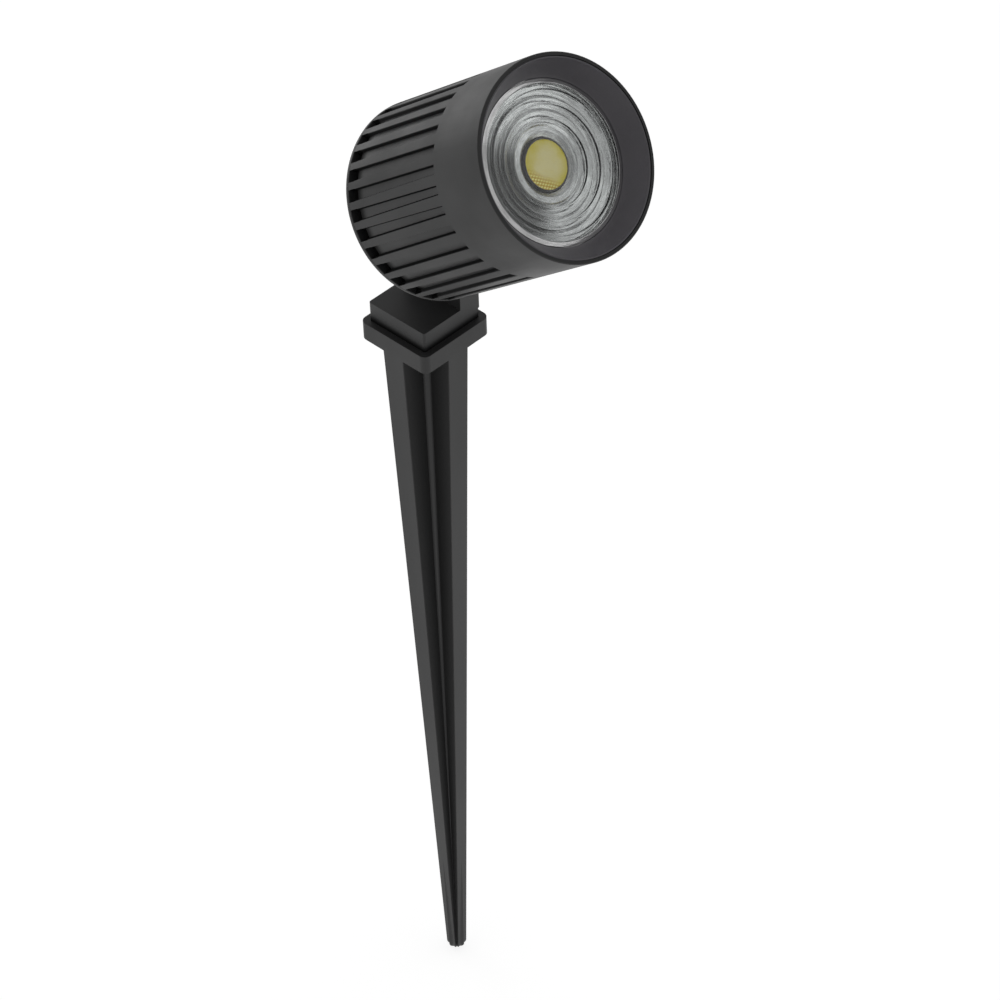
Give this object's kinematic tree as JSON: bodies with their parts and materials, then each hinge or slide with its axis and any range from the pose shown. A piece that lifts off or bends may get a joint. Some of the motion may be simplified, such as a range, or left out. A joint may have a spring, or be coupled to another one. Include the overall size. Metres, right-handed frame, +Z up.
{
  "type": "garden spot lamp on a ground stake",
  "caption": "Small finned spot lamp that tilts on a side bracket, on a cross-shaped ground stake, with a recessed ringed lens over a yellow light source.",
  "frame": {"origin": "on the stake's axis at soil level, the underside of the square flange", "axes": "+Z up along the stake; the lamp looks towards -Y, tilted up at rest; the bracket's ear is on the +X side"},
  "size_m": [0.06, 0.0944, 0.4019],
  "materials": {
    "black_plastic": "matt moulded plastic",
    "coated_metal": "die-cast aluminium with an anthracite powder coat",
    "steel": "stainless",
    "white_plastic": "moulded",
    "black_rubber": "matt",
    "grey_rubber": "silicone",
    "clear_lens": "clear with moulded rings",
    "bright_reflector": "metallised, slightly mottled",
    "white_board": "white",
    "phosphor": "yellow silicone gel",
    "green_board": "solder resist",
    "yellow_tape": "taped winding",
    "dark_sleeve": "sleeved can",
    "brass": "turned",
    "red_wire": "wire sleeve"
  },
  "bodies": {
    "stake": {"spike": "black_plastic", "bracket": "coated_metal", "bracket_screws": "steel", "hinge_bolt": "steel", "hinge_washers": "steel", "hinge_nut": "steel", "friction_washer": "white_plastic"},
    "head": {"housing": "coated_metal", "rear_cover": "coated_metal", "rear_seal": "black_rubber", "cover_screws": "steel", "bezel_ring": "coated_metal", "lens": "clear_lens", "front_gasket": "grey_rubber", "reflector": "bright_reflector", "cob_board": "white_board", "cob_phosphor": "phosphor", "cob_holder": "white_plastic", "holder_screws": "steel", "thermal_pad": "grey_rubber", "driver_board": "green_board", "driver_transformer": "yellow_tape", "driver_capacitor": "dark_sleeve", "driver_terminal": "green_board", "driver_spacers": "brass", "driver_screws": "steel", "led_leads": "red_wire", "gland_body": "black_plastic", "gland_locknut": "black_plastic", "gland_seal": "black_rubber", "gland_nut": "black_plastic"}
  },
  "joints": [
    {"name": "head_tilt", "type": "hinge", "parent": "stake", "child": "head", "pos_m": [0, 0, 0.041], "axis": [-1, 0, 0], "range_deg": [-37.4, 92.6]}
  ]
}
